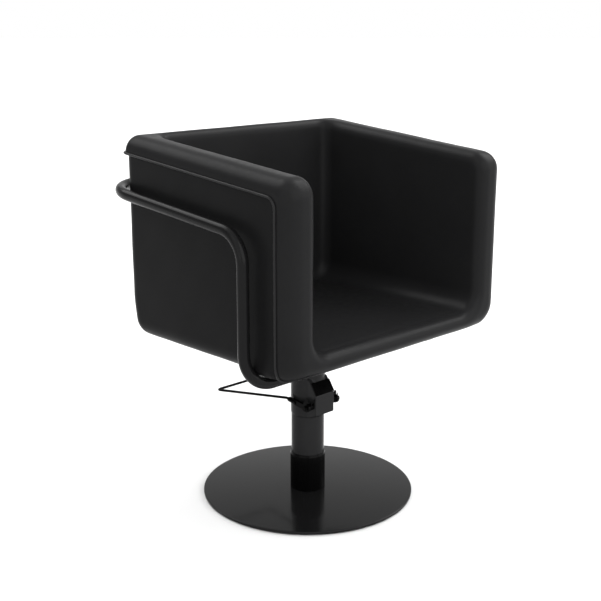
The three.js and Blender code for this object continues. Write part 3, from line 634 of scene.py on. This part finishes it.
def make_tub():
    """The upholstery, the cover set into its outside and the welt along their seam."""
    lattice, border, cover = tub_faces()
    lattice = round_seam_corner(lattice)
    shell_points, shell_faces = used_only(lattice, border)
    shell_points = settle(tub_field, shell_points)
    normals = gradient(tub_field, shell_points)
    seam_loop = open_edge(shell_faces)
    seam = shell_points[seam_loop]
    seam_normals = normals[seam_loop]
    points, faces = tuck(shell_points, shell_faces, normals, BORDER_EDGE)
    shell = mesh_object("tub_inner_upholstery", points, faces, LEATHER)
    subdivide(shell)
    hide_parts("arm_pad_left", "arm_pad_right", "seat_pad", "back_pad")

    def cover_field(p):
        return tub_field(p, inset=COVER_INSET, back_corner=COVER_CORNER)

    cover_points, cover_faces = used_only(lattice, cover)
    cover_points = settle(cover_field, cover_points)
    normals = gradient(cover_field, cover_points)
    points, faces = tuck(cover_points, cover_faces, normals, COVER_EDGE)
    outer = mesh_object("tub_outer_cover", points, faces, PANEL)
    subdivide(outer)
    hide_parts("side_panel_left", "side_panel_right", "back_panel")

    line = seam + seam_normals * WELT_LIFT
    welt = sweep("tub_piping", line, WELT_RADIUS, PIPING, 12, True, seam_normals, 1)
    for piece in (shell, outer, welt):
        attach(piece, "seat")


# ---- Tube rail ----------------------------------------------------------------------------
def make_rail():
    """The hoop and both side tubes as one closed tube, with no line at their joints."""
    hoop_low, hoop_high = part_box("front_hoop")
    side_low, side_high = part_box("side_rail_left")
    radius = (hoop_high.y - hoop_low.y) / 2
    x = -side_low.x - radius
    y_front = (hoop_low.y + hoop_high.y) / 2
    y_back = side_high.y - radius
    z_low = hoop_low.z + radius
    z_back = side_high.z - radius
    z_front = z_back - RAIL_SLOPE * (y_back - y_front)
    corners = [
        (-x, y_front, z_low), (-x, y_front, z_front), (-x, y_back, z_back),
        (x, y_back, z_back), (x, y_front, z_front), (x, y_front, z_low),
    ]
    one_side = [RAIL_BENDS["lower"], RAIL_BENDS["upper"], RAIL_BENDS["rear"]]
    radii = one_side + one_side[::-1]
    path = bent_path(corners, radii, closed=True, step=math.radians(4))
    rail = sweep("tube_rail", path, radius, TUBE_BLACK, 40, closed=True)
    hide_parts("front_hoop", "side_rail_left", "side_rail_right")
    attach(rail, "seat")


# ---- Base ---------------------------------------------------------------------------------
def make_base():
    """The floor disc and the two sleeves around the column."""
    radius, low, high = disc_high.x, disc_low.z, disc_high.z
    profile = [(0, low), (radius, low), (radius, high), (0, high)]
    disc = lathe("floor_disc_turned", round_corners(profile, 0.0016), DISC_BLACK, 256)
    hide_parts("floor_disc")
    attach(disc, "base")
    lower_low, lower_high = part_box("lower_sleeve")
    column_low, column_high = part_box("column_sleeve")
    column, bore = column_high.x, column_high.x + 0.0003
    lower = [
        (bore, lower_low.z), (lower_high.x, lower_low.z),
        (lower_high.x, lower_high.z - SLEEVE_TAPER), (bore + 0.0003, lower_high.z),
        (bore, lower_high.z),
    ]
    upper = [
        (column - 0.0019, column_low.z), (column, column_low.z),
        (column, column_high.z), (column - 0.0019, column_high.z),
    ]
    for node, profile, slot, material in (
        ("lower_sleeve", lower, "black_gloss_steel", GLOSS),
        ("column_sleeve", upper, "black_coated_steel", SATIN),
    ):
        edge = round_corners([profile[-1], *profile, profile[0]], 0.0012)[1:-1]
        sleeve = lathe(f"{node}_turned", edge, material, 128)
        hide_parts(node)
        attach(sleeve, "base")


def make_head():
    """A barrel with a block on its front, whose face slopes above and tucks in below."""
    low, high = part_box("pump_head")
    radius, head_bore, pin_bore = high.x, 0.0183, 0.0054
    block_half, block_front, block_top = 0.030, low.y, 0.290
    slope_low, slope_high, slope_depth = 0.255, 0.282, 0.039 - 0.057
    chin_top = 0.206

    def field(p):
        x, y, z = p.T
        ax = np.abs(x)
        taper = 0.0011 * np.clip((low.z + SLEEVE_TAPER - z) / SLEEVE_TAPER, 0, 1)
        barrel = np.hypot(x, y) - radius + taper
        barrel = round_and(barrel, z - high.z, 0.0025)
        front = block_front - y
        lean = np.abs(unit(np.array([slope_high - slope_low, slope_depth])))
        slope = (z - slope_low) * lean[1] - (y - block_front) * lean[0]
        chin = unit(np.array([-0.008, -0.021]))
        belly = (y - block_front) * chin[0] + (z - chin_top) * chin[1]
        block = round_and(front, slope, 0.0015)
        block = round_and(block, belly, 0.003)
        block = round_and(block, z - block_top, 0.002)
        block = round_and(block, ax - block_half, 0.0018)
        block = np.maximum(block, y)
        body = np.maximum(round_or(barrel, block, 0.003), low.z - z)
        body = round_and(body, head_bore - np.hypot(x, y), 0.001)
        pin = pin_bore - np.hypot(y - PIN.y, z - PIN.z)
        return round_and(body, pin, 0.0006)

    pad, step = 0.003, 0.0016
    points, faces = surface_net(field, np.array(low) - pad, np.array(high) + pad, step)
    head = mesh_object("pump_head_casting", points, faces, SATIN, 40)
    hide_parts("pump_head")
    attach(head, "base")


def on_arm(distance, up=0.0):
    """The (y, z) of a point along a yoke arm from the pin, and square to it."""
    tilt = math.asin(YOKE_RISE / YOKE_LENGTH)
    return (
        PIN.y + distance * math.cos(tilt) - up * math.sin(tilt),
        PIN.z + distance * math.sin(tilt) + up * math.cos(tilt),
    )


def make_pedal():
    """The pedal's rod loop between the yoke arms, and a coil spring beside each arm."""
    low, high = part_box("yoke_arm_right")
    side = (low.x + high.x) / 2
    loop_low, loop_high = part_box("pedal_loop")
    radius, tip_overlap, straight = 0.0032, 0.011, 0.008
    corner = (loop_high.x - radius, loop_high.y - radius, loop_low.z + radius)
    tip, bend = on_arm(YOKE_LENGTH - tip_overlap), on_arm(YOKE_LENGTH + straight)
    path = bent_path(
        [
            (-side, *tip), (-side, *bend), (-corner[0], *corner[1:]), corner,
            (side, *bend), (side, *tip),
        ],
        [0.025, 0.009, 0.009, 0.025],
        step=math.radians(6),
    )
    loop = sweep("pedal_rod_loop", path, radius, GLOSS, 20)
    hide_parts("pedal_loop")
    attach(loop, "pedal")
    for name, sign in (("left", -1), ("right", 1)):
        low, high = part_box(f"return_spring_{name}")
        wire, coil, turns, leg = 0.0011, 0.0074, 3, 0.020
        near, far = sorted((abs(low.x), abs(high.x)))
        near, far = near + wire, far - wire
        angles = np.linspace(math.pi, (1 + 2 * turns) * math.pi, turns * 24 + 1)
        helix = [
            (sign * (near + (far - near) * k / (len(angles) - 1)),
             *on_arm(coil * math.cos(angle), coil * math.sin(angle)))
            for k, angle in enumerate(angles)
        ]
        first = (sign * near, *on_arm(-coil, leg))
        last = (sign * far, *on_arm(-coil - 0.003, leg))
        spring = sweep(f"return_spring_coil_{name}", [first, *helix, last], wire, GLOSS, 12)
        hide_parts(f"return_spring_{name}")
        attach(spring, "pedal")


def bevel_hard_edges():
    """Breaks the sharp edges of the plates, nuts and arms that stay as CAD nodes."""
    for row in frame["record"]["subparts"]:
        node = nodes[row["node"]]
        black_steel = row["material_slot"] in ("black_coated_steel", "black_gloss_steel")
        if node.hide_render or not black_steel:
            continue
        bevel = node.modifiers.new("broken_edges", "BEVEL")
        bevel.width = 0.0005
        bevel.segments = 2
        bevel.limit_method = "ANGLE"
        bevel.angle_limit = math.radians(38)
        bevel.harden_normals = True


# ---- Studio -------------------------------------------------------------------------------
# Name, azimuth, elevation and apparent width in degrees, and power
SOFTBOXES = (
    ("fill_left", -165, 25, 60, 1.1),
    ("fill_front", -95, 25, 60, 2.3),
    ("front_right", -45, 15, 40, 0.8),
    ("right_high", -15, 45, 45, 2.6),
    ("rim_right", 45, 30, 50, 0.25),
    ("back_high", 105, 50, 40, 1.6),
    ("overhead", 0, 90, 90, 1.8),
)


# The room's brightness by height, from level with the eye up to the zenith
ROOM_SHADES = ((0.0, 1.0), (0.05, 1.0), (0.28, 0.45), (0.6, 0.28), (1.0, 0.28))
FLOOR_HALF = 60


def soft_sun(name, azimuth, elevation, spread, power):
    """A far softbox: where it stands as seen from the object, and how wide it looks."""
    light = bpy.data.lights.new(name, "SUN")
    light.energy = power
    light.angle = math.radians(spread)
    holder = bpy.data.objects.new(name, light)
    scene.collection.objects.link(holder)
    level, up = math.radians(azimuth), math.radians(elevation)
    towards = Vector(
        (math.cos(up) * math.cos(level), math.cos(up) * math.sin(level), math.sin(up))
    )
    holder.rotation_euler = (-towards).to_track_quat("-Z", "Y").to_euler()


def make_world():
    world = bpy.data.worlds.new("studio")
    world.use_nodes = True
    tree = world.node_tree
    background = tree.nodes["Background"]
    height = tree.nodes.new("ShaderNodeSeparateXYZ")
    tree.links.new(tree.nodes.new("ShaderNodeTexCoord").outputs["Generated"], height.inputs[0])
    ramp = tree.nodes.new("ShaderNodeValToRGB")
    tree.links.new(height.outputs["Z"], ramp.inputs["Fac"])
    tree.links.new(ramp.outputs["Color"], background.inputs["Color"])
    while len(ramp.color_ramp.elements) < len(ROOM_SHADES):
        ramp.color_ramp.elements.new(0.5)
    for element, (place, shade) in zip(ramp.color_ramp.elements, ROOM_SHADES):
        element.position = place
        element.color = (shade, shade, shade, 1)
    scene.world = world


def make_studio():
    make_world()
    for name, azimuth, elevation, spread, power in SOFTBOXES:
        soft_sun(name, azimuth, elevation, spread, power)
    n = Nodes("pale_floor")
    tone = n.mix(n.noise(2, 2), (0.60, 0.60, 0.60), (0.64, 0.64, 0.64))
    material = n.finish(tone, n.spread(n.noise(8, 2), 0.85, 0.92))
    corners = [(x * FLOOR_HALF, y * FLOOR_HALF, 0) for x, y in ((-1, -1), (1, -1), (1, 1), (-1, 1))]
    floor = mesh_object("floor", corners, [(0, 1, 2, 3)], material)


make_camera()
dress_nodes()
make_tub()
make_rail()
make_base()
make_head()
make_pedal()
bevel_hard_edges()
make_studio()
